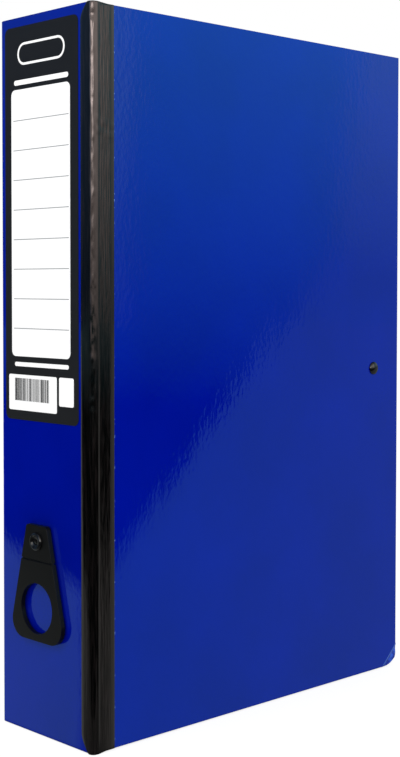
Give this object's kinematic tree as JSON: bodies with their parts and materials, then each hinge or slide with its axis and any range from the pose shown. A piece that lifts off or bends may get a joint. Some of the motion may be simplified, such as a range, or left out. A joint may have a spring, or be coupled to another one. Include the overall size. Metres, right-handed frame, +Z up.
{
  "type": "box file",
  "caption": "Upright lidded box file of paper-covered board with a taped hinge, spine label, finger pull, push catch and sprung paper clamp.",
  "frame": {"origin": "Middle of the whole file's footprint, on the surface it stands on.", "axes": "+Z up from the tail to the head, +X out through the lid, -Y out through the spine."},
  "size_m": [0.0778, 0.2426, 0.37],
  "materials": {
    "blue_paper": "glossy laminated paper on greyboard",
    "tray_board": "black paper-faced greyboard",
    "lining_paper": "matt grey lining paper",
    "hinge_tape": "glossy black book tape",
    "label_black": "satin printed label",
    "label_white": "white print field",
    "black_plastic": "moulded black plastic",
    "black_rivet": "glossy black lacquer",
    "zinc_steel": "bright zinc plate"
  },
  "bodies": {
    "tray": {"base_cover": "blue_paper", "spine_cover": "blue_paper", "head_wall": "tray_board", "tail_wall": "tray_board", "fore_edge_wall": "tray_board", "base_lining": "lining_paper", "hinge_tape_spine": "hinge_tape", "spine_label": "label_black", "label_panel": "label_white", "label_bar_panel": "label_white", "label_mark_panel": "label_white", "pull_rivet": "black_rivet", "pull_washer": "zinc_steel", "catch_plate": "black_plastic", "clamp_base": "zinc_steel", "clamp_rivet_1": "zinc_steel", "clamp_rivet_2": "zinc_steel", "clamp_pin": "zinc_steel", "clamp_spring_1": "zinc_steel", "clamp_spring_2": "zinc_steel"},
    "lid": {"lid_cover": "blue_paper", "lid_lining": "lining_paper", "hinge_tape_lid": "hinge_tape", "lid_catch_hook": "zinc_steel", "lid_catch_rivet": "black_rivet"},
    "pull_upper": {"pull_tab": "black_plastic"},
    "pull_lower": {"pull_ring": "black_plastic"},
    "catch_push": {"catch_button": "black_plastic"},
    "clamp": {"clamp_arm": "zinc_steel", "clamp_foot": "black_plastic"}
  },
  "joints": [
    {"name": "lid_hinge", "type": "hinge", "parent": "tray", "child": "lid", "pos_m": [0.0349, -0.11455, 0.185], "axis": [0, 0, -1], "range_deg": [0, 195]},
    {"name": "pull_swivel", "type": "hinge", "parent": "tray", "child": "pull_upper", "pos_m": [-0.00445, -0.11875, 0.1009], "axis": [0, 1, 0], "range_deg": [-15, 15]},
    {"name": "pull_fold", "type": "hinge", "parent": "pull_upper", "child": "pull_lower", "pos_m": [-0.00445, -0.1191, 0.091], "axis": [-1, 0, 0], "range_deg": [0, 90]},
    {"name": "catch_slide", "type": "slide", "parent": "tray", "child": "catch_push", "axis": [0, -1, 0], "range_m": [0, 0.0025], "stiffness_N_per_m": 400, "springref_m": -0.002},
    {"name": "clamp_lift", "type": "hinge", "parent": "tray", "child": "clamp", "pos_m": [-0.0249, -0.0877, 0.185], "axis": [0, 0, -1], "range_deg": [0, 36], "stiffness_Nm_per_rad": 0.3, "springref_deg": -28.65}
  ]
}
